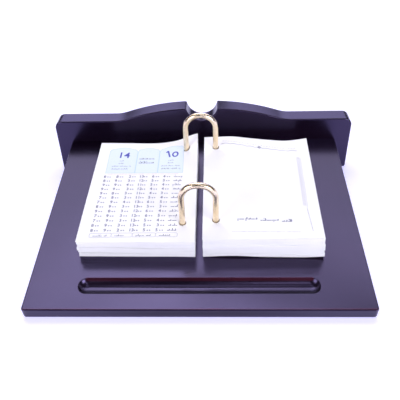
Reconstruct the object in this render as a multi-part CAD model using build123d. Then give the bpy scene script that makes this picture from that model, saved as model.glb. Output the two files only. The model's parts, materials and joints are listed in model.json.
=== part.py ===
from build123d import *

import os
from math import cos, radians, sin, sqrt, tan

# Desk calendar: a sloping lacquered board with a pen groove, a scrolled back board, two brass arches
# that carry two stacks of loose leaves, and a shallow drawer under the board that opens to the right.
# Millimetres. +X is right, +Y runs to the back board and +Z is up. The origin is on the desk, under
# the middle of the whole object. "Along" is measured up the slope from the board's front edge, and
# "behind" is measured level from that edge.

# Sloping board
board_width = 300.0
board_length = 230.0
board_thickness = 10.8
board_slope = 7.0
front_edge_clearance = 0.57
board_corner_round = 3.0
board_edge_round = 1.3

# Pen groove, a round trough with round ends
groove_length = 210.6
groove_width = 16.8
groove_depth = 5.0
groove_along = 25.4
groove_rim_round = 0.8

# Back board, with a raised middle and a round notch in its crest
back_width = 333.0
back_thickness = 20.0
back_height = 64.6
crest_rise = 14.6
crest_flat_half = 8.0
crown_radius = 245.0
sweep_radius = 40.0
notch_depth = 15.0
notch_radius = 17.2
notch_mouth_round = 2.0
back_top_corner_round = 8.5
back_foot_corner_round = 2.0
back_edge_round = 1.5

# Brass arches and the bushes that hold their legs
rod_radius = 2.75
leg_half_spacing = 15.25
arch_height = 67.0
front_arch_along = 80.7
rear_arch_along = 182.9
leg_end_chamfer = 0.5
bush_wall = 1.2
bush_floor = 1.6
leg_clearance = 0.3
fit_gap = 0.05

# Loose leaves, punched to run on the arches
leaf_width = 108.0
leaf_length = 142.5
leaf_along = 57.0
stack_gap = 5.5
left_stack_height = 20.5
right_stack_height = 24.0
top_leaf_thickness = 0.5
punch_clearance = 1.0
crease_margin = 2.0
crease_gap = 0.2

# Hidden frame under the board
side_inset = 10.0
rail_thickness = 10.0
front_rail_behind = 36.0
front_rail_width = 16.0
bay_rail_behind = 110.0
panel_thickness = 2.5
foot_thickness = 1.0
foot_radius = 6.0
front_foot_inset = 20.0
rear_foot_inset = 18.0

# Drawer in the bay behind the bay rail
drawer_gap = 0.4
running_gap = 0.3
runner_thickness = 0.8
runner_width = 6.0
runner_inset = 6.0
drawer_bottom_thickness = 2.5
drawer_wall = 5.0
drawer_front_thickness = 8.0
drawer_end_gap = 2.0
drawer_edge_round = 0.6
drawer_travel = 160.0
stop_drop = 2.2
stop_width = 8.0
stop_length = 40.0
wall_under_stop = 1.3

# Knob
knob_radius = 4.5
knob_head_length = 4.6
knob_head_round = 1.7
knob_neck_radius = 2.4
knob_neck_length = 3.6
knob_screw_bite = 5.0

# Countersunk slotted screws
screw_radius = 1.4
screw_head_radius = 2.8
screw_head_depth = 1.5
screw_slot_width = 0.7
screw_slot_depth = 0.6
screw_gap = 0.1
frame_screw_bite = 4.5
frame_screw_inset = 25.0
back_screw_bite = 9.0
back_screw_inset = 40.0
back_screw_spacing = 75.0

# Which end of a round part is at its origin
upward = (Align.CENTER, Align.CENTER, Align.MIN)
downward = (Align.CENTER, Align.CENTER, Align.MAX)

# Places that follow from the sizes
slope = radians(board_slope)
board_run = board_length * cos(slope)
board_front_height = front_edge_clearance + board_thickness * cos(slope)
front_round_setback = board_edge_round * (cos(slope) + sin(slope) - 1)
front_y = -(board_run + back_thickness + front_round_setback) / 2
back_y = front_y + board_run
rear_y = back_y + back_thickness
board_frame = Pos(0, front_y, board_front_height) * Rot(board_slope, 0, 0)

frame_half = board_width / 2 - side_inset
front_rail_far = front_rail_behind + front_rail_width
bay_near = bay_rail_behind + rail_thickness
bay_far = board_run - rail_thickness
panel_top = foot_thickness + panel_thickness
bay_inner_x = -frame_half + rail_thickness

drawer_near = bay_near + drawer_gap
drawer_far = bay_far - drawer_gap
drawer_base = panel_top + runner_thickness + running_gap
drawer_floor = drawer_base + drawer_bottom_thickness
drawer_inner_x = bay_inner_x + drawer_end_gap
drawer_front_x = frame_half - drawer_front_thickness
drawer_wall_gap = stop_drop + wall_under_stop

bush_length = board_thickness - bush_floor
bush_bore = rod_radius + leg_clearance
bush_radius = bush_bore + bush_wall
leg_depth = bush_length - leg_clearance
punch_radius = rod_radius + punch_clearance
crease_x = leg_half_spacing + punch_radius + crease_margin
arches = {"front": front_arch_along, "rear": rear_arch_along}
sides = {"left": -1, "right": 1}


def under_board(behind):
    """Height of the board's underside above the desk."""
    return board_front_height - board_thickness / cos(slope) + behind * tan(slope)


def block(x, y, z):
    """A box between two values on each axis."""
    size = (x[1] - x[0], y[1] - y[0], z[1] - z[0])
    return Pos(x[0], y[0], z[0]) * Box(*size, align=(Align.MIN, Align.MIN, Align.MIN))


def wedge(x_low, x_high, near, far, bottom, top_gap=0.0):
    """A prism with a level bottom and a top that stays top_gap under the board."""
    outline = Polyline(
        (front_y + near, bottom),
        (front_y + far, bottom),
        (front_y + far, under_board(far) - top_gap),
        (front_y + near, under_board(near) - top_gap),
        close=True,
    )
    return extrude(Plane.YZ.offset(x_low) * make_face(outline), x_high - x_low)


def screw(length):
    """A countersunk screw along +Z with the flat of its head at the origin."""
    head = Cone(screw_head_radius, screw_radius, screw_head_depth, align=upward)
    shank = Cylinder(screw_radius, length, align=upward)
    slot = Box(2 * screw_head_radius, screw_slot_width, 2 * screw_slot_depth)
    return head + shank - slot


def screw_hole(length):
    """The hole for such a screw, wider and deeper by the screw gap."""
    head = Cone(screw_head_radius + screw_gap, screw_radius + screw_gap, screw_head_depth, align=upward)
    shank_size = (screw_radius + screw_gap, length + screw_gap)
    return head + Cylinder(*shank_size, align=upward)


# Screws: each place is a location with the screw's length
end_x = frame_half - frame_screw_inset
cheek_x = frame_half - rail_thickness / 2
front_rail_middle = front_rail_behind + front_rail_width / 2
rails = [front_rail_middle, bay_near - rail_thickness / 2, board_run - rail_thickness / 2]
frame_screw_places = [(x, behind) for behind in rails for x in (-end_x, 0, end_x)]
frame_screw_places += [(side * cheek_x, (front_rail_far + bay_rail_behind) / 2) for side in sides.values()]
frame_screw_places += [(-cheek_x, bay_near + share * (bay_far - bay_near)) for share in (0.25, 0.75)]
frame_screws = [
    (Pos(x, front_y + behind, foot_thickness), under_board(behind) - foot_thickness + frame_screw_bite)
    for x, behind in frame_screw_places
]

board_end_middle = under_board(board_run) + board_thickness / cos(slope) / 2
board_screw_z = board_end_middle - back_screw_bite * tan(slope) / 2
rail_screw_z = (panel_top + under_board(bay_far)) / 2
back_length = back_thickness + back_screw_bite
into_board = [frame_half - back_screw_inset, back_screw_spacing / 2]
into_rail = [frame_half - back_screw_inset - back_screw_spacing / 2]
back_screws = [
    (Pos(side * x, rear_y, z) * Rot(90, 0, 0), length)
    for xs, z, length in (
        (into_board, board_screw_z, back_length),
        (into_rail, rail_screw_z, back_thickness + rail_thickness - screw_head_depth),
    )
    for x in xs
    for side in sides.values()
]


def drilled(part, places):
    """The part with the hole of every screw that meets it."""
    for place, length in places:
        part -= place * screw_hole(length)
    return part


def make_top_board():
    """The sloping board with its pen groove and the bores for the arch bushes."""
    outline = Polyline(
        (0, 0),
        (board_length, 0),
        (board_length - board_thickness * tan(slope), -board_thickness),
        (0, -board_thickness),
        close=True,
    )
    board = extrude(Plane.YZ * make_face(outline), board_width / 2, both=True)
    corners = board.edges().filter_by(Axis.Z).group_by(Axis.Y)[0]
    board = fillet(corners, board_corner_round)
    for pick in (-1, 0):
        face = board.faces().sort_by(Axis.Z)[pick]
        board = fillet(face.edges().sort_by(Axis.Y)[:-1], board_edge_round)

    trough_radius = ((groove_width / 2) ** 2 + groove_depth**2) / (2 * groove_depth)
    trough_half = (groove_length - groove_width) / 2
    trough = Rot(0, 90, 0) * Cylinder(trough_radius, 2 * trough_half)
    for side in sides.values():
        trough += Pos(side * trough_half, 0, 0) * Sphere(trough_radius)
    board -= Pos(0, groove_along, trough_radius - groove_depth) * trough
    top = board.faces().filter_by(Axis.Z).sort_by(Axis.Z)[-1]
    board = fillet(top.inner_wires()[0].edges(), groove_rim_round)

    for along in arches.values():
        for side in sides.values():
            bore = Cylinder(bush_radius + fit_gap, bush_length, align=downward)
            board -= Pos(side * leg_half_spacing, along, 0) * bore
    return drilled(board_frame * board, frame_screws + back_screws)


def make_back_board():
    """The upright board: level ends, a sweep up to a broad crest, and the round notch."""
    crest_height = back_height + crest_rise
    crown_z = crest_height - crown_radius
    sweep_z = back_height + sweep_radius
    reach = crown_radius + sweep_radius
    sweep_x = crest_flat_half + sqrt(reach**2 - (sweep_z - crown_z) ** 2)
    share = crown_radius / reach
    joint = (crest_flat_half + (sweep_x - crest_flat_half) * share, crown_z + (sweep_z - crown_z) * share)

    base = Polyline(
        (0, crest_height),
        (0, foot_thickness),
        (back_width / 2, foot_thickness),
        (back_width / 2, back_height),
        (sweep_x, back_height),
    )
    sweep_up = TangentArc((sweep_x, back_height), joint, tangent=(-1, 0))
    crown = TangentArc(joint, (crest_flat_half, crest_height), tangent=sweep_up % 1)
    crest = Line((crest_flat_half, crest_height), (0, crest_height))
    half = extrude(Plane.XZ.offset(-rear_y) * make_face([base, sweep_up, crown, crest]), back_thickness)
    board = half + mirror(half, about=Plane.YZ)

    ends = [edge for edge in board.edges().filter_by(Axis.Y) if abs(edge.center().X) > back_width / 2 - 1]
    board = fillet([edge for edge in ends if edge.center().Z > foot_thickness + 1], back_top_corner_round)
    board = fillet(board.edges().filter_by(Axis.Y).group_by(Axis.Z)[0], back_foot_corner_round)
    notch_z = crest_height - notch_depth + notch_radius
    middle_y = back_y + back_thickness / 2
    board -= Pos(0, middle_y, notch_z) * Rot(90, 0, 0) * Cylinder(notch_radius, 2 * back_thickness)
    crests = [edge for edge in board.edges().filter_by(Axis.Y) if edge.center().Z > crest_height - 2]
    board = fillet([edge for edge in crests if abs(edge.center().X) < notch_radius + 1], notch_mouth_round)
    for pick in (0, -1):
        face = board.faces().sort_by(Axis.Y)[pick]
        edges = [edge for edge in face.edges() if edge.center().Z > foot_thickness + back_foot_corner_round]
        board = fillet(edges, back_edge_round)
    return drilled(board, back_screws)


def make_arch(along):
    """A brass rod bent to a tall arch, square to the board, with both legs in their bushes."""
    leg_top = arch_height - leg_half_spacing
    bend = Pos(leg_half_spacing, 0, leg_top) * Circle(rod_radius)
    arch = revolve(bend, Axis((0, 0, leg_top), (0, -1, 0)), 180)
    for side in sides.values():
        leg = Cylinder(rod_radius, leg_top + leg_depth, align=downward)
        leg = chamfer(leg.edges().sort_by(Axis.Z)[0], leg_end_chamfer)
        arch += Pos(side * leg_half_spacing, 0, leg_top) * leg
    return board_frame * Pos(0, along, 0) * arch


def make_bushes(along):
    """The two brass bushes of an arch, pressed into the board."""
    bush = Cylinder(bush_radius, bush_length, align=downward)
    bush -= Cylinder(bush_bore, bush_length, align=downward)
    return Compound([board_frame * Pos(side * leg_half_spacing, along, 0) * bush for side in sides.values()])


def sideways(side, inner, outer):
    """The low and high X of a span that lies between two distances from the middle."""
    return sorted((side * inner, side * outer))


def make_page_block(side, height):
    """A stack of leaves, punched for the arches, with the top leaf's bound margin on it."""
    inner = stack_gap / 2
    length = (leaf_along, leaf_along + leaf_length)
    stack = block(sideways(side, inner, inner + leaf_width), length, (0, height - top_leaf_thickness))
    stack += block(sideways(side, inner, crease_x), length, (0, height))
    for along in arches.values():
        punch = Cylinder(punch_radius, height, align=upward)
        stack -= Pos(side * leg_half_spacing, along, 0) * punch
    return board_frame * stack


def make_top_leaf(side, height):
    """The part of the top leaf that turns up along a crease beside the arches."""
    span = sideways(side, crease_x + crease_gap, stack_gap / 2 + leaf_width)
    length = (leaf_along, leaf_along + leaf_length)
    return board_frame * block(span, length, (height - top_leaf_thickness, height))


def make_drawer_stop():
    """A strip glued under the board, which the drawer's inner end meets when it is pulled out."""
    low = drawer_inner_x + drawer_wall + drawer_travel + running_gap
    middle = (drawer_near + drawer_far) / 2
    span = (low, low + stop_width, middle - stop_length / 2, middle + stop_length / 2, drawer_floor)
    return wedge(*span) - wedge(*span, top_gap=stop_drop)


def make_runners():
    """Two thin strips on the panel that the drawer runs on."""
    span = (bay_inner_x, drawer_front_x)
    height = (panel_top, panel_top + runner_thickness)
    nears = (bay_near + runner_inset, bay_far - runner_inset - runner_width)
    return Compound([block(span, (front_y + near, front_y + near + runner_width), height) for near in nears])


def make_drawer_front():
    """The drawer's front, inset between the rails, with soft outer edges and the screw's hole."""
    front = wedge(drawer_front_x, frame_half, drawer_near, drawer_far, panel_top + drawer_gap, drawer_gap)
    front = fillet(front.faces().sort_by(Axis.X)[-1].edges(), drawer_edge_round)
    return front - knob_screw_place * screw_hole(knob_screw_length)


def make_knob():
    """A small turned knob: a neck and a round-edged head."""
    neck = Cylinder(knob_neck_radius, knob_neck_length, align=upward)
    head = Cylinder(knob_radius, knob_head_length, align=upward)
    head = fillet(head.edges().filter_by(GeomType.CIRCLE), knob_head_round)
    knob = neck + Pos(0, 0, knob_neck_length) * head
    place = Pos(frame_half, front_y + knob_behind, knob_z) * Rot(0, 90, 0)
    return place * knob - knob_screw_place * screw_hole(knob_screw_length)


knob_behind = (drawer_near + drawer_far) / 2
knob_z = (panel_top + drawer_gap + under_board(knob_behind) - drawer_gap) / 2
knob_screw_length = drawer_front_thickness + knob_screw_bite
knob_screw_place = Pos(drawer_front_x, front_y + knob_behind, knob_z) * Rot(0, 90, 0)

drawer_span = (drawer_inner_x, drawer_front_x)
drawer_width = (front_y + drawer_near, front_y + drawer_far)
side_span = (drawer_inner_x + drawer_wall, drawer_front_x)
stack_heights = {"left": left_stack_height, "right": right_stack_height}

nodes = {
    "top_board": make_top_board(),
    "back_board": make_back_board(),
    "front_rail": wedge(-frame_half, frame_half, front_rail_behind, front_rail_far, foot_thickness),
    "bay_front_rail": wedge(-frame_half, frame_half, bay_rail_behind, bay_near, panel_top),
    "bay_rear_rail": wedge(-frame_half, frame_half, bay_far, board_run, panel_top),
    "bay_end_rail": wedge(-frame_half, bay_inner_x, bay_near, bay_far, panel_top),
    "under_panel": block(
        (-frame_half, frame_half), (front_y + bay_rail_behind, back_y), (foot_thickness, panel_top)
    ),
    "drawer_runners": make_runners(),
    "drawer_stop": make_drawer_stop(),
    "drawer_front": make_drawer_front(),
    "drawer_bottom": block(drawer_span, drawer_width, (drawer_base, drawer_floor)),
    "drawer_inner_end": wedge(
        drawer_inner_x, side_span[0], drawer_near, drawer_far, drawer_floor, 2 * drawer_gap
    ),
    "drawer_near_side": wedge(
        *side_span, drawer_near, drawer_near + drawer_wall, drawer_floor, drawer_wall_gap
    ),
    "drawer_far_side": wedge(
        *side_span, drawer_far - drawer_wall, drawer_far, drawer_floor, drawer_wall_gap
    ),
    "drawer_knob": make_knob(),
    "knob_screw": knob_screw_place * screw(knob_screw_length),
    "frame_screws": Compound([place * screw(length) for place, length in frame_screws]),
    "back_screws": Compound([place * screw(length) for place, length in back_screws]),
}

for name, side in sides.items():
    span = sideways(side, frame_half - rail_thickness, frame_half)
    nodes[f"{name}_cheek"] = wedge(*span, front_rail_far, bay_rail_behind, foot_thickness)
    nodes[f"{name}_page_block"] = make_page_block(side, stack_heights[name])
    nodes[f"{name}_top_leaf"] = make_top_leaf(side, stack_heights[name])

for name, along in arches.items():
    nodes[f"{name}_arch"] = make_arch(along)
    nodes[f"{name}_arch_bushes"] = make_bushes(along)

foot_places = {
    "front_feet": (frame_half - front_foot_inset, front_y + front_rail_middle),
    "rear_feet": (back_width / 2 - rear_foot_inset, back_y + back_thickness / 2),
}
for name, (x, y) in foot_places.items():
    foot = Cylinder(foot_radius, foot_thickness, align=upward)
    nodes[name] = Compound([Pos(side * x, y, 0) * foot for side in sides.values()])

bay_rails = ("bay_front_rail", "bay_rear_rail", "bay_end_rail")
for name in ("front_rail", *bay_rails, "left_cheek", "right_cheek", "under_panel"):
    nodes[name] = drilled(nodes[name], frame_screws + back_screws)

os.makedirs("parts", exist_ok=True)
for name, node in nodes.items():
    node.label = name
    export_step(node, f"parts/{name}.step")
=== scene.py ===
"""The looks of a desk calendar: lacquered stand, brass arches and two stacks of printed loose leaves."""

import json
import logging
import random
from dataclasses import dataclass, field
from enum import Enum
from functools import partial
from math import cos, pi, radians, sin, tan
from typing import Callable, Sequence

import bmesh
import bpy
from mathutils import Matrix, Vector


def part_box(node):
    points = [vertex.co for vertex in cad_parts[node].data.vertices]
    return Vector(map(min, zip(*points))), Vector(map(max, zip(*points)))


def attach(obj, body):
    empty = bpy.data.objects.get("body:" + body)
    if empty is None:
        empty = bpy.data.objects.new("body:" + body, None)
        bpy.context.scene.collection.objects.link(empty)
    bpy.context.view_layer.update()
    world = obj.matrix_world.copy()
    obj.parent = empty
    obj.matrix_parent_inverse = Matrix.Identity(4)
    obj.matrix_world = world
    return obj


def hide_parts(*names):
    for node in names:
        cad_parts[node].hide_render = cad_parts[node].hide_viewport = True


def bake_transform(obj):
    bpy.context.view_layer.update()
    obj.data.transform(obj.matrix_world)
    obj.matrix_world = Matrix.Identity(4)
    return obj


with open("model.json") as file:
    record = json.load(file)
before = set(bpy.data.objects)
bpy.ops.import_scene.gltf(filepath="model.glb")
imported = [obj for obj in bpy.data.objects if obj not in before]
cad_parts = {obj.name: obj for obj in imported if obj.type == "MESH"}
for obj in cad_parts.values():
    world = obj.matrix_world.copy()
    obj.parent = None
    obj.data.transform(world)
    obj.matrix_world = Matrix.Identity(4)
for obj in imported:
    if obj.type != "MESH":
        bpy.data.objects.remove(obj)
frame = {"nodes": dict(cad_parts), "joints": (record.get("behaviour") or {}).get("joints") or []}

log = logging.getLogger("desk_calendar")
MM = 0.001
Colour = tuple[float, float, float]
Socket = bpy.types.NodeSocket
Knots = Sequence[tuple[float, float]]


class Side(Enum):
    """The left or right stack, as a sign along X."""

    LEFT = -1
    RIGHT = 1

    @property
    def word(self) -> str:
        """The side's name as the nodes and bodies spell it."""
        return self.name.lower()


# --------------------------------------------------------------------------------------------------
# Places


@dataclass(frozen=True)
class BoardPlane:
    """The top of the sloping board, which the leaves and their print are laid out on."""

    front: Vector
    normal: Vector

    @classmethod
    def from_frame(cls) -> "BoardPlane":
        """Reads the plane from the board's box and the way the front arch lifts.

        Returns:
            The plane, with front at the middle of the board's top front edge.
        """
        lift = next(joint for joint in frame["joints"] if joint["name"] == "front_arch_lift")
        normal = Vector(lift["axis"]).normalized()
        low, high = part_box("top_board")
        run = high.y - low.y
        return cls(Vector((0.0, low.y, high.z + run * normal.y / normal.z)), normal)

    @property
    def uphill(self) -> Vector:
        """The unit vector up the slope."""
        return Vector((0.0, self.normal.z, -self.normal.y))

    def at(self, x: float, along: float, up: float = 0.0) -> Vector:
        """A point, from metres to the right, up the slope from the front edge, and above the board."""
        return self.front + Vector((x, 0.0, 0.0)) + self.uphill * along + self.normal * up


# --------------------------------------------------------------------------------------------------
# Shader building blocks


class Tree:
    """A node tree with short calls to add nodes and links."""

    def __init__(self, tree: bpy.types.NodeTree) -> None:
        """Wraps a material's or group's node tree."""
        self.tree = tree

    def add(self, kind: str, inputs: dict | None = None, **settings: object) -> bpy.types.Node:
        """Adds a node.

        Args:
            kind: the node's type name.
            inputs: socket values or output sockets to link, by input name or index.
            **settings: properties of the node.

        Returns:
            The new node.
        """
        node = self.tree.nodes.new(kind)
        for name, value in settings.items():
            setattr(node, name, value)
        for name, value in (inputs or {}).items():
            if isinstance(value, Socket):
                self.link(value, node.inputs[name])
            else:
                node.inputs[name].default_value = value
        return node

    def link(self, source: Socket, target: Socket) -> None:
        """Links an output socket to an input socket."""
        self.tree.links.new(source, target)

    def math(self, operation: str, first: object, second: object = 0.0) -> Socket:
        """The result of a math node, from numbers or output sockets."""
        return self.add("ShaderNodeMath", {0: first, 1: second}, operation=operation).outputs[0]

    def vector(self, operation: str, first: object, second: object) -> bpy.types.NodeOutputs:
        """The outputs of a vector math node, from vectors or output sockets."""
        return self.add("ShaderNodeVectorMath", {0: first, 1: second}, operation=operation).outputs

    def mix_colour(self, share: Socket, low: object, high: object) -> Socket:
        """Mixes two colours, with alpha or from sockets, where a share of 0 gives low and 1 gives high."""
        return self.add("ShaderNodeMix", {0: share, 6: low, 7: high}, data_type="RGBA").outputs[2]

    def spread(self, value: Socket, low: float, high: float) -> Socket:
        """Maps 0 to 1 onto low to high."""
        return self.add("ShaderNodeMapRange", {0: value, 3: low, 4: high}).outputs[0]

    def window(self, value: Socket, start: float, end: float, eased: bool = False) -> Socket:
        """Maps start to end onto 0 to 1.

        Args:
            value: the socket to map.
            start: the value that gives 0.
            end: the value that gives 1.
            eased: whether the rise between them is S-shaped.

        Returns:
            The mapped socket.
        """
        limits = {0: value, 1: start, 2: end}
        way = "SMOOTHSTEP" if eased else "LINEAR"
        return self.add("ShaderNodeMapRange", limits, interpolation_type=way).outputs[0]

    def noise(self, place: Socket, scale: Socket, **inputs: float) -> Socket:
        """A noise texture's value, from coordinates, features per metre and its other sockets."""
        return self.add("ShaderNodeTexNoise", {"Vector": place, "Scale": scale, **inputs}).outputs["Fac"]

    def stretch(self, place: Socket, scale: tuple[float, float, float]) -> Socket:
        """The coordinates, scaled along each axis."""
        return self.add("ShaderNodeMapping", {"Vector": place, "Scale": scale}).outputs[0]


def mask_group(
    name: str, scale: float, build: Callable[[Tree, Socket, Socket], dict[str, Socket]]
) -> bpy.types.NodeTree:
    """Makes a node group of masks once and returns it again afterwards.

    Args:
        name: the group's name.
        scale: what its Scale socket holds at first, in features per metre.
        build: fills the tree, from the coordinates and the scale, and gives the masks by name.

    Returns:
        The node group.
    """
    if name in bpy.data.node_groups:
        return bpy.data.node_groups[name]
    group = bpy.data.node_groups.new(name, "ShaderNodeTree")
    sockets = group.interface
    sockets.new_socket("Vector", in_out="INPUT", socket_type="NodeSocketVector")
    sockets.new_socket("Scale", in_out="INPUT", socket_type="NodeSocketFloat").default_value = scale
    tree = Tree(group)
    source = tree.add("NodeGroupInput").outputs
    masks = build(tree, source["Vector"], source["Scale"])
    for label in masks:
        sockets.new_socket(label, in_out="OUTPUT", socket_type="NodeSocketFloat")
    tree.add("NodeGroupOutput", masks)
    return group


def clouds_group() -> bpy.types.NodeTree:
    """Gives soft blotches for tone and gloss that wander over a surface.

    Returns:
        The node group.
    """

    def build(tree: Tree, place: Socket, scale: Socket) -> dict[str, Socket]:
        """Builds the blotches."""
        return {"Mask": tree.window(tree.noise(place, scale, Detail=4.0), 0.3, 0.7, eased=True)}

    return mask_group("soft_clouds", 20.0, build)


def grain_group() -> bpy.types.NodeTree:
    """Gives long wood grain along X, with fine pores in it.

    Returns:
        The node group.
    """

    def build(tree: Tree, place: Socket, scale: Socket) -> dict[str, Socket]:
        """Builds the grain and the pores.

        Args:
            tree: the group's tree.
            place: the coordinates.
            scale: the bands per metre.

        Returns:
            The masks by name.
        """
        long = tree.stretch(place, (0.08, 1.0, 1.0))
        bands = tree.noise(long, scale, Detail=6.0, Distortion=0.6)
        pores = tree.noise(long, tree.math("MULTIPLY", scale, 7.0), Detail=3.0)
        return {"Grain": tree.window(bands, 0.32, 0.68), "Pores": tree.window(pores, 0.55, 0.75)}

    return mask_group("wood_grain", 60.0, build)


def hairlines_group() -> bpy.types.NodeTree:
    """Gives faint polishing lines, for metal.

    Returns:
        The node group.
    """

    def build(tree: Tree, place: Socket, scale: Socket) -> dict[str, Socket]:
        """Builds the lines."""
        return {"Lines": tree.noise(tree.stretch(place, (1.0, 1.0, 0.05)), scale)}

    return mask_group("hairlines", 900.0, build)


def opaque(colour: Colour) -> tuple[float, float, float, float]:
    """The colour with an alpha of 1."""
    return (*colour, 1.0)


class Surface(Tree):
    """A material's tree, with its Principled BSDF and the object coordinates that its masks read."""

    def __init__(self, material: bpy.types.Material) -> None:
        """Opens a material.

        Args:
            material: the material to paint.
        """
        material.use_nodes = True
        super().__init__(material.node_tree)
        self.shader = self.tree.nodes["Principled BSDF"]
        self.place = self.add("ShaderNodeTexCoord").outputs["Object"]

    def masks(self, group: bpy.types.NodeTree, scale: float) -> bpy.types.NodeOutputs:
        """Places one of the shared groups.

        Args:
            group: the shared node group.
            scale: the pattern's size, in features per metre.

        Returns:
            The group's masks.
        """
        node = self.add("ShaderNodeGroup", node_tree=group)
        self.link(self.place, node.inputs["Vector"])
        node.inputs["Scale"].default_value = scale
        return node.outputs

    def set(self, **values: object) -> None:
        """Sets plain values on the shader's own sockets, with underscores for the spaces."""
        for name, value in values.items():
            self.shader.inputs[name.replace("_", " ")].default_value = value

    def blend(self, mask: Socket, low: Colour, high: Colour) -> Socket:
        """Blends two colours by a mask and makes them the base colour.

        Args:
            mask: 0 for low and 1 for high.
            low: the first colour.
            high: the second colour.

        Returns:
            The blend's socket.
        """
        tone = self.mix_colour(mask, opaque(low), opaque(high))
        self.link(tone, self.shader.inputs["Base Color"])
        return tone

    def vary(self, socket: str, mask: Socket, low: float, high: float) -> None:
        """Spreads a mask over a range of one of the shader's sockets."""
        self.link(self.spread(mask, low, high), self.shader.inputs[socket])

    def relief(self, height: Socket, depth: float) -> None:
        """Bumps the surface by a 0 to 1 height, with the depth of 1 in metres."""
        bump = self.add("ShaderNodeBump", {"Height": height, "Distance": depth, "Strength": 1.0})
        self.link(bump.outputs["Normal"], self.shader.inputs["Normal"])


# --------------------------------------------------------------------------------------------------
# Finishes


@dataclass(frozen=True)
class Finish:
    """What every finish has: a name, and a material that is built once."""

    name: str

    def material(self) -> bpy.types.Material:
        """Gives the finish's material, built at its first use.

        Returns:
            The material.
        """
        if self.name in bpy.data.materials:
            return bpy.data.materials[self.name]
        material = bpy.data.materials.new(self.name)
        self.paint(Surface(material))
        return material

    def paint(self, surface: Surface) -> None:
        """Sets the surface's shader."""
        raise NotImplementedError


@dataclass(frozen=True)
class Band:
    """A straight band across the board, where a reddish reflection is painted into the lacquer's colour.

    Attributes:
        along: how far up the slope its middle lies.
        half_width: half its width.
        half_length: how far it goes to each side of the middle.
        depth: how far it goes down below the top of the board.
    """

    along: float
    half_width: float
    half_length: float
    depth: float = 0.0035


@dataclass(frozen=True)
class Lacquer(Finish):
    """Deep wine lacquer over wood: nearly black where it faces dark, violet where it mirrors light.

    A reddish reflection is painted into the base colour along the board's front edge and the far rim
    of the pen groove. Painted shade: the middle of the front face reflects less, for the shadowed floor it
    mirrors.
    """

    name: str = "wine_lacquer"
    dark: Colour = (0.0020, 0.0010, 0.0042)
    warm: Colour = (0.0060, 0.0018, 0.0062)
    # painted reflection: the colour of the reddish line painted along the front edge and the groove's far
    # rim
    reddish_reflection: Colour = (0.042, 0.005, 0.010)
    tint: Colour = (0.55, 0.46, 0.92)
    index: float = 1.73
    gloss: tuple[float, float] = (0.20, 0.26)
    reflection_bands: tuple[Band, ...] = (Band(0.0014, 0.0011, 0.150), Band(0.0331, 0.0018, 0.100))
    # painted shade: the front face's specular level, off and in its middle, where it mirrors the shadowed
    # floor
    painted_shade_level: tuple[float, float] = (0.50, 0.25)
    painted_shade_reach: tuple[float, float] = (0.135, 0.02)
    face_skin: float = 0.0008
    face_top: float = -0.0012

    def paint(self, surface: Surface) -> None:
        """Sets the surface's shader.

        Args:
            surface: the new material.
        """
        grain = surface.masks(grain_group(), 45.0)
        clouds = surface.masks(clouds_group(), 14.0)
        skin = surface.masks(clouds_group(), 420.0)
        plane = BoardPlane.from_frame()
        offset = surface.vector("SUBTRACT", surface.place, plane.front)[0]
        x, y, z = surface.add("ShaderNodeSeparateXYZ", {0: offset}).outputs
        sideways = surface.math("ABSOLUTE", x)

        tone = surface.blend(grain["Grain"], self.dark, self.warm)
        along = surface.vector("DOT_PRODUCT", offset, plane.uphill)[1]
        up = surface.vector("DOT_PRODUCT", offset, plane.normal)[1]
        # Painted reflection: a reddish line is painted into the base colour along the front edge and the
        # groove's far rim.
        for band in self.reflection_bands:
            away = surface.math("ABSOLUTE", surface.math("SUBTRACT", along, band.along))
            mask = surface.window(away, band.half_width, 0.4 * band.half_width, eased=True)
            mask = surface.math("MULTIPLY", mask, surface.math("LESS_THAN", sideways, band.half_length))
            mask = surface.math("MULTIPLY", mask, surface.math("GREATER_THAN", up, -band.depth))
            patchy = surface.math("MULTIPLY", mask, surface.spread(clouds["Mask"], 0.5, 1.0))
            tone = surface.mix_colour(patchy, tone, opaque(self.reddish_reflection))
        surface.link(tone, surface.shader.inputs["Base Color"])

        # Painted shade: the middle of the front face reflects less, standing in for the shadowed floor that
        # it mirrors.
        middle = surface.window(sideways, *self.painted_shade_reach, eased=True)
        in_front = surface.math("LESS_THAN", y, self.face_skin)
        face = surface.math("MULTIPLY", in_front, surface.math("LESS_THAN", z, self.face_top))
        painted_shade = surface.math("MULTIPLY", middle, face)
        surface.vary("Specular IOR Level", painted_shade, *self.painted_shade_level)
        surface.vary("Roughness", clouds["Mask"], *self.gloss)
        surface.relief(skin["Mask"], 0.000003)
        surface.set(IOR=self.index, Specular_Tint=opaque(self.tint))


@dataclass(frozen=True)
class Wood(Finish):
    """Plain sanded wood.

    Attributes:
        between: the colour between the lines of the grain.
        line: the colour of the grain.
        scale: the grain's lines per metre.
        weakest: how much of the grain shows where it is weakest.
        rough: the roughness, off and in the pores.
        pore_depth: the pores' depth, in metres.
    """

    between: Colour
    line: Colour
    scale: float
    weakest: float
    rough: tuple[float, float]
    pore_depth: float

    def paint(self, surface: Surface) -> None:
        """Sets the surface's shader.

        Args:
            surface: the new material.
        """
        grain = surface.masks(grain_group(), self.scale)
        clouds = surface.masks(clouds_group(), 25.0)
        strength = surface.spread(clouds["Mask"], self.weakest, 1.0)
        streaks = surface.math("MULTIPLY", grain["Grain"], strength)
        surface.blend(streaks, self.between, self.line)
        surface.vary("Roughness", grain["Pores"], *self.rough)
        surface.relief(grain["Pores"], -self.pore_depth)


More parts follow.
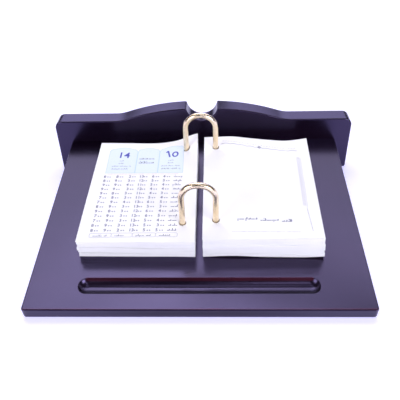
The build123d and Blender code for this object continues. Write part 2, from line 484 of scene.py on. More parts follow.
@dataclass(frozen=True)
class Brass(Finish):
    """Bright polished brass, a little paler where it is rubbed."""

    name: str = "polished_brass"
    pale: Colour = (0.93, 0.80, 0.60)
    deep: Colour = (0.88, 0.70, 0.44)

    def paint(self, surface: Surface) -> None:
        """Sets the surface's shader.

        Args:
            surface: the new material.
        """
        clouds = surface.masks(clouds_group(), 60.0)
        lines = surface.masks(hairlines_group(), 1500.0)
        surface.blend(clouds["Mask"], self.pale, self.deep)
        surface.vary("Roughness", lines["Lines"], 0.20, 0.32)
        surface.relief(lines["Lines"], 0.000003)
        surface.set(Metallic=1.0)


@dataclass(frozen=True)
class Steel(Finish):
    """Zinc-plated steel of the screws."""

    name: str = "plated_steel"
    dark: Colour = (0.42, 0.42, 0.43)
    light: Colour = (0.62, 0.61, 0.58)

    def paint(self, surface: Surface) -> None:
        """Sets the surface's shader.

        Args:
            surface: the new material.
        """
        clouds = surface.masks(clouds_group(), 700.0)
        surface.blend(clouds["Mask"], self.dark, self.light)
        surface.vary("Roughness", clouds["Mask"], 0.25, 0.45)
        surface.set(Metallic=1.0)


@dataclass(frozen=True)
class Felt(Finish):
    """Pressed black felt."""

    name: str = "black_felt"
    dark: Colour = (0.012, 0.012, 0.013)
    light: Colour = (0.04, 0.04, 0.043)

    def paint(self, surface: Surface) -> None:
        """Sets the surface's shader.

        Args:
            surface: the new material.
        """
        fibres = surface.masks(clouds_group(), 2500.0)
        surface.blend(fibres["Mask"], self.dark, self.light)
        surface.relief(fibres["Mask"], 0.0002)
        surface.set(Roughness=0.95, Sheen_Weight=0.3)


@dataclass(frozen=True)
class Paper(Finish):
    """Thin white book paper with a faint cool cast and visible fibre."""

    name: str = "white_leaf"
    white: Colour = (0.94, 0.94, 0.945)
    shade: Colour = (0.91, 0.91, 0.925)

    def paint(self, surface: Surface) -> None:
        """Sets the surface's shader.

        Args:
            surface: the new material.
        """
        clouds = surface.masks(clouds_group(), 35.0)
        fibres = surface.masks(clouds_group(), 1800.0)
        mottled = surface.math("MULTIPLY", clouds["Mask"], surface.spread(fibres["Mask"], 0.5, 1.0))
        surface.blend(mottled, self.white, self.shade)
        surface.relief(fibres["Mask"], 0.00002)
        surface.set(Roughness=0.8, IOR=1.4, Specular_IOR_Level=0.3)


@dataclass(frozen=True)
class Ink(Finish):
    """Printing ink, uneven where the paper's fibre takes less of it."""

    full: Colour
    thin: Colour

    def paint(self, surface: Surface) -> None:
        """Sets the surface's shader.

        Args:
            surface: the new material.
        """
        fibres = surface.masks(clouds_group(), 1600.0)
        surface.blend(fibres["Mask"], self.full, self.thin)
        surface.set(Roughness=0.7, IOR=1.4, Specular_IOR_Level=0.3)


LACQUER = Lacquer()
STAINED = Wood(
    "stained_wood",
    between=(0.020, 0.009, 0.012),
    line=(0.060, 0.028, 0.032),
    scale=55.0,
    weakest=1.0,
    rough=(0.45, 0.7),
    pore_depth=0.00003,
)
BARE = Wood(
    "bare_wood",
    between=(0.56, 0.38, 0.22),
    line=(0.36, 0.21, 0.11),
    scale=70.0,
    weakest=0.7,
    rough=(0.55, 0.75),
    pore_depth=0.00004,
)
BRASS = Brass()
STEEL = Steel()
FELT = Felt()
PAPER = Paper()
GREY_INK = Ink("grey_ink", (0.07, 0.07, 0.15), (0.20, 0.20, 0.32))
TABLE_INK = Ink("table_ink", (0.15, 0.15, 0.25), (0.30, 0.30, 0.42))
DATE_INK = Ink("date_ink", (0.075, 0.085, 0.42), (0.12, 0.13, 0.50))
PANEL_INK = Ink("panel_ink", (0.73, 0.83, 0.91), (0.79, 0.87, 0.935))
LINE_INK = Ink("panel_line_ink", (0.52, 0.68, 0.78), (0.60, 0.74, 0.83))
FAINT_INK = Ink("faint_ink", (0.36, 0.35, 0.40), (0.50, 0.49, 0.53))
ROSE_INK = Ink("rose_ink", (0.72, 0.52, 0.58), (0.82, 0.66, 0.70))


# --------------------------------------------------------------------------------------------------
# Curves and meshes


def smooth(value: float) -> float:
    """An S-shaped rise from 0 to 1, held outside that range."""
    value = min(max(value, 0.0), 1.0)
    return value * value * (3.0 - 2.0 * value)


def in_metres(knots: Knots) -> Knots:
    """The (place, value) knots in metres, from millimetres."""
    return [(place * MM, value * MM) for place, value in knots]


def through(knots: Knots, place: float) -> float:
    """A smooth curve through a few knots.

    Args:
        knots: (place, value) pairs in rising order of place.
        place: where the curve is read; past the ends it stays at the end's value.

    Returns:
        The curve's value.
    """
    place = min(max(place, knots[0][0]), knots[-1][0])
    number = max(index for index, knot in enumerate(knots[:-1]) if knot[0] <= place)
    before, (x0, y0), (x1, y1), after = (
        knots[max(number - 1, 0)],
        knots[number],
        knots[number + 1],
        knots[min(number + 2, len(knots) - 1)],
    )
    span = x1 - x0
    start = (y1 - before[1]) / (x1 - before[0]) * span
    end = (after[1] - y0) / (after[0] - x0) * span
    t = (place - x0) / span
    rise = (2 * t**3 - 3 * t**2 + 1) * y0 + (3 * t**2 - 2 * t**3) * y1
    return rise + (t**3 - 2 * t**2 + t) * start + (t**3 - t**2) * end


def add_piece(
    name: str, mesh: bmesh.types.BMesh, finishes: Sequence[Finish]
) -> bpy.types.Object:
    """Makes an object of a mesh that is already in place.

    Args:
        name: the piece's name.
        mesh: its mesh in the row frame, which is freed.
        finishes: its finishes, in the order of the faces' material numbers.

    Returns:
        The new object.
    """
    data = bpy.data.meshes.new(name)
    mesh.to_mesh(data)
    mesh.free()
    for finish in finishes:
        data.materials.append(finish.material())
    piece = bpy.data.objects.new(name, data)
    bpy.context.scene.collection.objects.link(piece)
    return piece


def soften(mesh: bmesh.types.BMesh, sharp: float = radians(40)) -> None:
    """Shades a mesh smooth, apart from its sharp edges.

    Args:
        mesh: the mesh.
        sharp: edges that turn more than this stay sharp.
    """
    for face in mesh.faces:
        face.smooth = True
    for edge in mesh.edges:
        edge.smooth = len(edge.link_faces) == 2 and edge.calc_face_angle(0.0) < sharp


def thicken(mesh: bmesh.types.BMesh, offset: Vector) -> None:
    """Turns an open sheet into a thin closed solid.

    Args:
        mesh: the sheet.
        offset: from its underside to its top.
    """
    sheet = mesh.verts[:] + mesh.edges[:] + mesh.faces[:]
    made = bmesh.ops.extrude_face_region(mesh, geom=sheet, use_keep_orig=True)["geom"]
    raised = [item for item in made if isinstance(item, bmesh.types.BMVert)]
    bmesh.ops.translate(mesh, vec=offset, verts=raised)
    bmesh.ops.recalc_face_normals(mesh, faces=mesh.faces)


# --------------------------------------------------------------------------------------------------
# Leaves


@dataclass
class Looseness:
    """How far the edges of one clump's leaves stray from their neighbours'."""

    draw: random.Random
    clump_slip: float = 0.0006
    leaf_slip: float = 0.00022

    def __post_init__(self) -> None:
        """Draws what the clump's leaves share."""
        self.shared = [self.draw.uniform(-self.clump_slip, self.clump_slip) for _ in range(4)]

    def draw_edges(self) -> list[float]:
        """One leaf's slip, skew, added length and added width."""
        return [shared + self.draw.uniform(-self.leaf_slip, self.leaf_slip) for shared in self.shared]


@dataclass
class Gaps:
    """The air between a stack's clumps.

    Each gap widens and narrows along the stack while their sum stays the same. Under the lowest clump
    there is air only where its front edge bends up off the board.

    Attributes:
        draw: where the waves come from.
        count: how many gaps there are between the clumps.
        total: the sum of all the gaps, in metres.
        width: the leaves' width.
        depth: the leaves' length.
        front_rise: how far the lowest clump's front edge bends up, as (across, rise) knots.
        reach: how deep from the front edge the bend goes.
        least: a gap's share where it is narrowest, when its widest is this and 1.
    """

    draw: random.Random
    count: int
    total: float
    width: float
    depth: float
    front_rise: Knots
    reach: float = 0.022
    least: float = 0.2

    def __post_init__(self) -> None:
        """Draws each gap's wave: its pitch across, its pitch along and its phase."""
        self.waves = [
            (self.draw.uniform(3.0, 8.0), self.draw.uniform(-3.0, 3.0), self.draw.uniform(0.0, 2.0 * pi))
            for _ in range(self.count)
        ]

    def below(self, number: int, across: float, deep: float) -> float:
        """The air under a clump.

        Args:
            number: the clump, counted from the bottom.
            across: metres from the stack's inner edge.
            deep: metres from its front edge.

        Returns:
            The sum of the gaps under it, in metres.
        """
        lift = through(self.front_rise, across) * smooth(1.0 - deep / self.reach)
        shares = [
            self.least + (0.5 + 0.5 * sin(one * across / self.width + two * deep / self.depth + phase)) ** 2
            for one, two, phase in self.waves
        ]
        return lift + (self.total - lift) * sum(shares[:number]) / sum(shares)


def no_air(across: float, deep: float) -> float:
    """The air under leaves that lie close, wherever across and deep are."""
    return 0.0


@dataclass
class LeafStack:
    """One stack of loose leaves, punched for the two arches.

    Across is measured from the stack's inner edge towards the outside, and deep from its front edge.

    Attributes:
        side: left or right.
        plane: the board that it lies on.
        height: its height where it is flat.
        width: its leaves' width.
        inner: from the middle of the board to its inner edge.
        clumps: how many sheaves cling together, from the bottom up.
        rear_rise: how far its rear edge curls up, as (across, rise) knots.
        fade: the curl is gone at the first deep, and falls off to it with the power of the second.
        corner_rise: how far its outer front corner lifts.
        front_skew: how far its outer front corner lies back, at the bottom and at the top.
        outer_sway: how much wider it lies at the front than at the rear, at the bottom and at the top.
        front_rise: how far its lowest clump's front edge bends up, as (across, rise) knots.
        seed: for its small irregularities.
        depth: its leaves' length.
        front: from the board's front edge to its own, up the slope.
        leg: from the middle of the board to its arch legs.
        crease: from the middle of the board to the crease that its top leaves turn on.
        hole_deeps: where its two holes are.
        hole_radius: the holes' radius.
        corner_reach: how deep the lift of its outer front corner goes.
        curl_power: how fast the curl grows from the lowest leaf to the top one.
        top_leaves: how many leaves turn together.
        top_thickness: how thick they are together.
        print_room: the air under them, for the print on the next leaf.
        filled: a leaf's thickness, as a share of the room that it has.
    """

    side: Side
    plane: BoardPlane
    height: float
    width: float
    inner: float
    clumps: Sequence[int]
    rear_rise: Knots
    fade: tuple[float, float]
    corner_rise: float
    front_skew: tuple[float, float]
    outer_sway: tuple[float, float]
    front_rise: Knots
    seed: int
    depth: float = 0.1425
    front: float = 0.057
    leg: float = 0.01525
    crease: float = 0.0210
    hole_deeps: tuple[float, float] = (0.0237, 0.1259)
    hole_radius: float = 0.00375
    corner_reach: float = 0.060
    curl_power: float = 2.6
    top_leaves: int = 3
    top_thickness: float = 0.0005
    print_room: float = 0.00014
    filled: tuple[float, float] = (0.94, 0.7)

    @property
    def body(self) -> str:
        """The body that the stack rides on."""
        return f"{self.side.word}_pages"

    @property
    def leaf_body(self) -> str:
        """The name of the body for the turning leaves; nothing attaches them to it."""
        return f"{self.side.word}_leaf"

    def curl(self, across: float, deep: float) -> float:
        """How far the top leaf stands above its flat height.

        Args:
            across: metres from the inner edge.
            deep: metres from the front edge.

        Returns:
            The rise, in metres.
        """
        start, power = self.fade
        rear = through(self.rear_rise, across) * smooth((deep - start) / (self.depth - start)) ** power
        corner = smooth((across / self.width - 0.45) / 0.55) * smooth(1.0 - deep / self.corner_reach)
        return rear + self.corner_rise * corner

    def point(self, across: float, deep: float, level: float) -> Vector:
        """A point in the stack.

        Args:
            across: metres from the inner edge.
            deep: metres from the front edge.
            level: metres above the board where the stack is flat.

        Returns:
            The point in the row frame.
        """
        share = min(max(level / self.height, 0.0), 1.0)
        up = level + self.curl(across, deep) * share**self.curl_power
        return self.plane.at(self.side.value * (self.inner + across), self.front + deep, up)

    def blank(self, cell: float) -> bpy.types.Mesh:
        """A flat punched leaf in across and deep, cut finely enough to bend.

        Args:
            cell: the size of its cells away from the holes, in metres.

        Returns:
            The leaf's mesh.
        """
        leaf = bmesh.new()
        bmesh.ops.create_grid(leaf, x_segments=1, y_segments=1, size=0.5)
        bmesh.ops.scale(leaf, vec=(self.width, self.depth, 1.0), verts=leaf.verts)
        bmesh.ops.translate(leaf, vec=(self.width / 2, self.depth / 2, 0.0), verts=leaf.verts)
        half = self.hole_radius * 0.85
        ring = [half * step for step in (-1.0, -0.5, 0.0, 0.5, 1.0)]
        hole_across = self.leg - self.inner
        across = [hole_across + step for step in ring]
        deep = [hole + step for hole in self.hole_deeps for step in ring]
        directions = ((across, self.width, Vector((1, 0, 0))), (deep, self.depth, Vector((0, 1, 0))))
        for lines, size, axis in directions:
            count = round(size / cell)
            evenly = [size * number / count for number in range(1, count)]
            lines += [place for place in evenly if all(abs(place - line) > 0.3 * cell for line in lines)]
            for line in sorted(lines):
                cut = leaf.verts[:] + leaf.edges[:] + leaf.faces[:]
                bmesh.ops.bisect_plane(leaf, geom=cut, dist=1e-7, plane_co=axis * line, plane_no=axis)
        for hole in self.hole_deeps:
            self.punch(leaf, Vector((hole_across, hole, 0.0)), half)
        blank = bpy.data.meshes.new("leaf_blank")
        leaf.to_mesh(blank)
        leaf.free()
        return blank

    def punch(self, leaf: bmesh.types.BMesh, centre: Vector, half: float) -> None:
        """Opens a round hole in the flat leaf.

        Args:
            leaf: the leaf.
            centre: the hole's centre.
            half: half the square of cells that the hole takes.
        """
        reach = half * 1.01

        def near(point: Vector) -> bool:
            """Whether a point is within the hole's square."""
            return abs(point.x - centre.x) < reach and abs(point.y - centre.y) < reach

        inside = [face for face in leaf.faces if near(face.calc_center_median())]
        bmesh.ops.delete(leaf, geom=inside, context="FACES")
        for vert in leaf.verts:
            if near(vert.co):
                vert.co = centre + (vert.co - centre).normalized() * self.hole_radius

    def lay(
        self,
        mesh: bmesh.types.BMesh,
        blank: bpy.types.Mesh,
        level: float,
        thickness: float,
        loose: Looseness,
        air: Callable[[float, float], float],
    ) -> None:
        """Adds one leaf, or a thin sheaf of them, to a mesh.

        Args:
            mesh: the mesh that grows.
            blank: the flat punched leaf.
            level: height of its underside, apart from the air.
            thickness: its thickness.
            loose: how it strays from its neighbours.
            air: the air under it, by across and deep.
        """
        leaf = bmesh.new()
        leaf.from_mesh(blank)
        slip, skew, longer, wider = loose.draw_edges()
        turn = level / self.height
        lean = self.front_skew[0] + (self.front_skew[1] - self.front_skew[0]) * turn
        sway = self.outer_sway[0] + (self.outer_sway[1] - self.outer_sway[0]) * turn
        for vert in leaf.verts:
            across, deep = vert.co.x, vert.co.y
            out = across / self.width
            far = deep / self.depth
            moved_across = across + out * (wider + sway * (0.4 - far) + skew * (far - 0.5)) + 0.3 * slip
            moved_deep = deep + (far - 0.5) * longer + out * (0.6 * skew + lean * (1.0 - far)) + 0.2 * slip
            vert.co = self.point(moved_across, moved_deep, level + air(across, deep))
        thicken(leaf, self.plane.normal * thickness)
        sheet = bpy.data.meshes.new("leaf_sheet")
        leaf.to_mesh(sheet)
        leaf.free()
        mesh.from_mesh(sheet)
        bpy.data.meshes.remove(sheet)

    @property
    def room(self) -> float:
        """The height of the leaves under the turning ones."""
        return self.height - self.top_thickness

    def build(self) -> list[bpy.types.Object]:
        """Makes the stack and its turning leaves, and hides the solids that they stand for.

        Returns:
            The stack and the turning leaves.
        """
        draw = random.Random(self.seed)
        stack_filled, turning_filled = self.filled
        coarse = self.blank(0.0075)
        stack = bmesh.new()
        gap_count = len(self.clumps) - 1
        sheaf = self.room / (sum(self.clumps) + gap_count)
        gaps = Gaps(draw, gap_count, sheaf * gap_count, self.width, self.depth, self.front_rise)
        level = 0.0
        for number, count in enumerate(self.clumps):
            loose = Looseness(draw)
            for _ in range(count):
                self.lay(stack, coarse, level, sheaf * stack_filled, loose, partial(gaps.below, number))
                level += sheaf
        turning = bmesh.new()
        fine = self.blank(0.0042)
        pitch = (self.top_thickness - self.print_room) / self.top_leaves
        for number in range(self.top_leaves):
            under = self.room + self.print_room + number * pitch
            self.lay(turning, fine, under, pitch * turning_filled, Looseness(draw), no_air)
        bpy.data.meshes.remove(coarse)
        bpy.data.meshes.remove(fine)
        pieces = []
        kinds = ((stack, "leaf_stack", "page_block"), (turning, "turning_leaves", "top_leaf"))
        for mesh, name, node in kinds:
            soften(mesh)
            piece = add_piece(f"{self.side.word}_{name}", mesh, [PAPER])
            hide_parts(f"{self.side.word}_{node}")
            pieces.append(piece)
        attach(pieces[0], self.body)
        self.hinge(pieces[1])
        return pieces

    def hinge(self, piece: bpy.types.Object) -> None:
        """Bakes a piece's placement into its mesh; the ends of the crease beside the arches are worked out
        but not used.

        Args:
            piece: the turning leaves or what is printed on them.
        """
        before, beyond = (self.crease - self.inner + step for step in (-0.0003, 0.0047))
        start = self.point(before, self.depth / 2, self.height)
        end = self.point(beyond, self.depth / 2, self.height)
        end.z, end.y = start.z, start.y
        self.body
        self.leaf_body
        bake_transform(piece)


# --------------------------------------------------------------------------------------------------
# Print


@dataclass
class Print:
    """Shapes printed on the top of a stack, laid out in x and along and then pressed to the leaf."""

    stack: LeafStack
    layer: float = 0.0
    lift: float = -0.00003
    thickness: float = 0.00007
    cell: float = 0.004
    mesh: bmesh.types.BMesh = field(default_factory=bmesh.new)
    finishes: list[Finish] = field(default_factory=list)

    def number_of(self, finish: Finish) -> int:
        """Finds a finish among the page's materials, and adds it when it is new.

        Args:
            finish: the finish.

        Returns:
            Its number.
        """
        if finish not in self.finishes:
            self.finishes.append(finish)
        return self.finishes.index(finish)

    def keep(self, verts: Sequence[bmesh.types.BMVert], finish: Finish) -> None:
        """Gives a finish to the faces of some vertices.

        Args:
            verts: the vertices of one new shape.
            finish: its ink.
        """
        number = self.number_of(finish)
        for face in {face for vert in verts for face in vert.link_faces}:
            face.material_index = number

    def bar(
        self, x: float, along: float, width: float, height: float, finish: Finish, lean: float = 0.0
    ) -> None:
        """Prints a short bar, which stands for a word or a stroke.

        Args:
            x: its middle across the page.
            along: its middle up the page.
            width: its width.
            height: its height.
            finish: its ink.
            lean: its turn, in radians.
        """
        verts = bmesh.ops.create_grid(self.mesh, x_segments=1, y_segments=1, size=0.5)["verts"]
        place = Matrix.Translation((x, along, self.layer)) @ Matrix.Rotation(lean, 4, "Z")
        bmesh.ops.scale(self.mesh, vec=(width, height, 1.0), verts=verts)
        bmesh.ops.transform(self.mesh, matrix=place, verts=verts)
        self.keep(verts, finish)

    def word(
        self, x: float, along: float, width: float, height: float, draw: random.Random, finish: Finish
    ) -> None:
        """Prints a greeked word: strokes of uneven height over a broken base line.

        Args:
            x: its left end.
            along: its base line.
            width: its width.
            height: the height of its tallest strokes.
            draw: where the strokes' sizes come from.
            finish: its ink.
        """
        place = x
        while place < x + width:
            stroke = min(draw.uniform(0.5, 1.5) * height, x + width - place)
            if stroke < 0.1 * height:
                break
            self.bar(place + stroke / 2, along + 0.12 * height, stroke * 0.9, 0.24 * height, finish)
            if draw.random() < 0.65:
                tall = draw.uniform(0.4, 1.0) * height
                lean = draw.uniform(-0.2, 0.2)
                self.bar(place + stroke * 0.8, along + tall / 2, 0.24 * height, tall, finish, lean)
            if draw.random() < 0.35:
                dot = draw.choice((-0.4, 0.85)) * height
                self.bar(place + stroke * 0.4, along + dot, 0.22 * height, 0.22 * height, finish, 0.7)
            place += stroke + draw.uniform(0.0, 0.15) * height

    def line(
        self,
        start: float,
        end: float,
        along: float,
        height: float,
        draw: random.Random,
        finish: Finish,
        rise: float = 0.0,
    ) -> None:
        """Prints a line of greeked words.

        Args:
            start: x of its left end.
            end: x of its right end.
            along: its base line at the left end.
            height: the height of its tallest strokes.
            draw: where the words' lengths come from.
            finish: its ink.
            rise: how far its base line climbs to the right end.
        """
        place = start
        while place < end - height:
            width = min(draw.uniform(2.0, 5.5) * height, end - place)
            base = along + rise * (place - start) / (end - start)
            self.word(place, base, width, height, draw, finish)
            place += width + 0.8 * height

    def figure(
        self, text: str, x: float, along: float, height: float, finish: Finish, lean: float = 0.0
    ) -> None:
        """Prints figures.

        Args:
            text: the figures.
            x: their middle across the page.
            along: their base line.
            height: their height.
            finish: their ink.
            lean: their turn, in radians.
        """
        curve = bpy.data.curves.new("figure", "FONT")
        curve.body = text
        curve.align_x = "CENTER"
        curve.resolution_u = 3
        curve.size = height / 0.70
        curve.offset = 0.02 * height
        letters = bpy.data.objects.new("figure", curve)
        shape = bpy.data.meshes.new_from_object(letters)
        shape.transform(Matrix.Translation((x, along, self.layer)) @ Matrix.Rotation(lean, 4, "Z"))
        for face in shape.polygons:
            face.material_index = self.number_of(finish)
        self.mesh.from_mesh(shape)
        bpy.data.objects.remove(letters)
        bpy.data.curves.remove(curve)
        bpy.data.meshes.remove(shape)

    def arch_panel(self, left: float, right: float, low: float, high: float, finish: Finish) -> None:
        """Prints a panel whose top is a broad arch between two small shoulders.

        Args:
            left: x of its left side.
            right: x of its right side.
            low: along of its foot.
            high: along of its crown.
            finish: its ink.
        """
        arch_half, arch_fall = 0.7, 0.0026
        shoulder_drop, shoulder_fall = 0.0022, 0.0042
        verts = bmesh.ops.create_grid(self.mesh, x_segments=26, y_segments=10, size=0.5)["verts"]
        for vert in verts:
            share = 2.0 * vert.co.x
            if abs(share) < arch_half:
                top = high - arch_fall * (share / arch_half) ** 2
            else:
                past = (abs(share) - arch_half) / (1.0 - arch_half)
                top = high - shoulder_drop - shoulder_fall * past**2.5
            x = left + (right - left) * (vert.co.x + 0.5)
            vert.co = (x, low + (top - low) * (vert.co.y + 0.5), self.layer)
        self.keep(verts, finish)

    def ring(
        self, x: float, along: float, width: float, height: float, stroke: float, finish: Finish
    ) -> None:
        """Prints an oval ring.

        Args:
            x: its middle across the page.
            along: its middle up the page.
            width: its outer width.
            height: its outer height.
            stroke: the width of its line.
            finish: its ink.
        """
        loops = []
        made = []
        for inset in (0.0, stroke):
            verts = bmesh.ops.create_circle(self.mesh, segments=28, radius=1.0)["verts"]
            bmesh.ops.scale(self.mesh, vec=(width / 2 - inset, height / 2 - inset, 1.0), verts=verts)
            bmesh.ops.translate(self.mesh, vec=(x, along, self.layer), verts=verts)
            loops += dict.fromkeys(edge for vert in verts for edge in vert.link_edges)
            made += verts
        bmesh.ops.bridge_loops(self.mesh, edges=loops)
        self.keep(made, finish)

    def press(self, name: str, body: str | None) -> bpy.types.Object:
        """Cuts the shapes finely, gives them thickness and presses them to the leaf.

        Args:
            name: the piece's name.
            body: the body that it rides on, or None for the print on the turning leaves, which is not
                attached to a body.

        Returns:
            The printed piece.
        """
        stack = self.stack
        for _ in range(4):
            long_edges = [edge for edge in self.mesh.edges if edge.calc_length() > self.cell]
            bmesh.ops.subdivide_edges(self.mesh, edges=long_edges, cuts=1)
            bmesh.ops.triangulate(self.mesh, faces=self.mesh.faces)
        thicken(self.mesh, Vector((0.0, 0.0, self.thickness)))
        level = stack.height if body is None else stack.room
        for vert in self.mesh.verts:
            across = stack.side.value * vert.co.x - stack.inner
            spot = stack.point(across, vert.co.y - stack.front, level)
            vert.co = spot + stack.plane.normal * (self.lift + vert.co.z)
        piece = add_piece(name, self.mesh, self.finishes)
        if body is None:
            stack.hinge(piece)
        else:
            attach(piece, body)
        return piece


@dataclass
class Page:
    """What is printed on a stack's top leaf, and again on the leaf under it.

    Attributes:
        stack: the stack it is printed on.
        seed: for the strokes of its greeked words.
    """

    stack: LeafStack
    seed: int

    def build(self, name: str, body: str | None) -> bpy.types.Object:
        """Prints the page.

        Args:
            name: the piece's name.
            body: the body it rides on, or None for the print on the turning leaves, which is not attached
                to a body.

        Returns:
            The printed piece.
        """
        page = Print(self.stack)
        self.fill(page, random.Random(self.seed))
        return page.press(name, body)

    def fill(self, page: Print, draw: random.Random) -> None:
        """Prints the page's shapes, with strokes that come from draw."""
        raise NotImplementedError


@dataclass
class TimesPage(Page):
    """The left page: three arched panels, the date in figures, and a table of hours."""

    seed: int = 14
    rows: int = 13
    first_row: float = 0.1432
    row_pitch: float = 0.00606
    row_drift: float = -0.0002
    columns: tuple[float, ...] = (-0.0958, -0.0838, -0.0712, -0.0592, -0.0478, -0.0360)
    hours: tuple[int, ...] = (8, 9, 3, 12, 5, 4)
    panels: tuple[tuple[float, float], ...] = ((-0.0962, -0.0674), (-0.0664, -0.0442), (-0.0432, -0.0184))
    panel_foot: float = 0.1505
    panel_crown: float = 0.1910
    panel_line: float = 0.0005
    panel_layer: float = 0.00002
    ink_layer: float = 0.00004

    def fill(self, page: Print, draw: random.Random) -> None:
        """Prints the page's shapes.

        Args:
            page: the page.
            draw: where its strokes come from.
        """
        edge = self.panel_line
        for left, right in self.panels:
            page.layer = 0.0
            low, high = self.panel_foot - edge, self.panel_crown + edge
            page.arch_panel(left - edge, right + edge, low, high, LINE_INK)
            page.layer = self.panel_layer
            page.arch_panel(left, right, self.panel_foot, self.panel_crown, PANEL_INK)
        page.layer = self.ink_layer
        self.print_date(page, draw)
        self.print_table(page, draw)
        self.print_ribbon(page, draw)

    def print_date(self, page: Print, draw: random.Random) -> None:
        """Prints the date's figures and the small lines under them.

        Args:
            page: the page.
            draw: where the lines' strokes come from.
        """
        page.figure("14", -0.0812, 0.1745, 0.0090, DATE_INK, -0.03)
        page.bar(-0.0336, 0.1790, 0.0017, 0.0096, DATE_INK, 0.22)
        page.bar(-0.0354, 0.1832, 0.0032, 0.0017, DATE_INK, 0.7)
        page.ring(-0.0270, 0.1780, 0.0070, 0.0082, 0.0017, DATE_INK)
        for left, right in (self.panels[0], self.panels[2]):
            middle = (left + right) / 2
            for along, half in ((0.1690, 0.0030), (0.1650, 0.0036), (0.1606, 0.0100), (0.1562, 0.0100)):
                page.line(middle - half, middle + half, along, 0.0017, draw, GREY_INK)
        left, right = self.panels[1]
        for along in (0.1722, 0.1655):
            page.line(left + 0.0018, right - 0.0018, along, 0.0036, draw, GREY_INK)
        page.line(self.panels[0][0] + 0.002, self.panels[2][1] - 0.003, 0.1482, 0.0012, draw, ROSE_INK)

    def print_table(self, page: Print, draw: random.Random) -> None:
        """Prints the table of hours and the names beside it.

        Args:
            page: the page.
            draw: where the strokes come from.
        """
        for row in range(self.rows):
            along = self.first_row - row * self.row_pitch
            drift = self.row_drift * row
            for column, hour in zip(self.columns, self.hours):
                shown = hour + draw.choice((-1, 0, 0, 1))
                place = column + drift + draw.uniform(-0.0005, 0.0005)
                page.figure(str(shown), place, along, 0.0034, TABLE_INK)
                for step in (0.0030, 0.0052):
                    page.bar(place + step, along + 0.0011, 0.0011, 0.0011, TABLE_INK, 0.78)
            start = -0.0268 + drift + draw.uniform(-0.0006, 0.0006)
            page.word(start, along + 0.0006, 0.0085, 0.0030, draw, TABLE_INK)

    def print_ribbon(self, page: Print, draw: random.Random) -> None:
        """Prints the boxed line under the table.

        Args:
            page: the page.
            draw: where the strokes come from.
        """
        ends = (-0.0990, -0.0790, -0.0600, -0.0390, -0.0195)
        low, high, stroke, round_off = 0.0636, 0.0684, 0.0003, 0.0010
        for left, right in zip(ends, ends[1:]):
            for along in (low, high):
                page.bar((left + right) / 2, along, right - left - 2 * round_off, stroke, FAINT_INK)
            for x, lean in ((left, 1), (right, -1)):
                for along, up in ((low, 1), (high, -1)):
                    corner = (x + lean * round_off / 2, along + up * round_off / 2)
                    page.bar(*corner, 1.4 * round_off, stroke, FAINT_INK, -lean * up * pi / 4)
                page.bar(x, (low + high) / 2, stroke, high - low - 2 * round_off, FAINT_INK)
            page.line(left + 0.003, right - 0.004, low + 0.0013, 0.0020, draw, GREY_INK)


@dataclass
class SayingPage(Page):
    """The right page: a faint ornamental border and one line of greeked words.

    Attributes:
        left: x of the top border's left end.
        right: x of its right end.
        top: along of its left end.
        top_fall: how far it falls to its right end.
        scallops: how many scallops it has.
        chain_start: x and along of the right border's first ring.
        chain_step: from each of its rings to the next.
        chain_count: how many rings it has.
        dots_start: x and along of the first dot of the dotted line under them.
        dots_step: from each dot to the next.
        dots_count: how many dots it has.
        foot: along of the bottom border.
    """

    seed: int = 15
    left: float = 0.0218
    right: float = 0.0990
    top: float = 0.1878
    top_fall: float = 0.0066
    scallops: int = 9
    chain_start: tuple[float, float] = (0.0992, 0.1685)
    chain_step: tuple[float, float] = (-0.00008, -0.0038)
    chain_count: int = 19
    dots_start: tuple[float, float] = (0.0995, 0.0945)
    dots_step: tuple[float, float] = (0.0001, -0.0016)
    dots_count: int = 18
    foot: float = 0.0663

    def fill(self, page: Print, draw: random.Random) -> None:
        """Prints the page's shapes.

        Args:
            page: the page.
            draw: where its strokes come from.
        """
        self.print_top(page)
        self.print_side(page)
        page.line(0.0345, 0.0836, 0.0812, 0.0034, draw, GREY_INK, rise=-0.0038)
        page.line(0.0294, 0.0900, self.foot, 0.0009, draw, FAINT_INK, rise=-0.0010)

    def print_top(self, page: Print) -> None:
        """Prints the top border: scallops with a dotted line above them, and a ring.

        Args:
            page: the page.
        """
        steps = 6 * self.scallops
        for number in range(steps + 1):
            share = number / steps
            x = self.left + (self.right - self.left) * share
            along = self.top - self.top_fall * share
            turn = self.scallops * pi * share
            page.bar(x, along + 0.0012 * abs(sin(turn)), 0.0014, 0.0007, FAINT_INK, 0.5 * cos(turn))
            if number % 2:
                page.bar(x, along + 0.0046, 0.0011, 0.0006, FAINT_INK)
        page.ring(0.0608, 0.1856, 0.0034, 0.0034, 0.0009, GREY_INK)

    def print_side(self, page: Print) -> None:
        """Prints the right border: a chain of rings, and a dotted line under it.

        Args:
            page: the page.
        """
        for number in range(self.chain_count):
            x, along = (start + step * number for start, step in zip(self.chain_start, self.chain_step))
            page.ring(x, along, 0.0030, 0.0026, 0.0005, FAINT_INK)
            page.bar(x + 0.0024, along - 0.0019, 0.0009, 0.0011, FAINT_INK, 0.78)
        for number in range(self.dots_count):
            x, along = (start + step * number for start, step in zip(self.dots_start, self.dots_step))
            page.bar(x, along, 0.0006, 0.0011, FAINT_INK)


# --------------------------------------------------------------------------------------------------
# Stand


@dataclass
class Dressing:
    """Gives CAD nodes their finish."""

    finish: Finish
    nodes: Sequence[str]

    def apply(self) -> None:
        """Puts the finish in each node's material slots."""
        for name in self.nodes:
            materials = frame["nodes"][name].data.materials
            materials.clear()
            materials.append(self.finish.material())
            log.info("%s is finished in %s", name, self.finish.name)


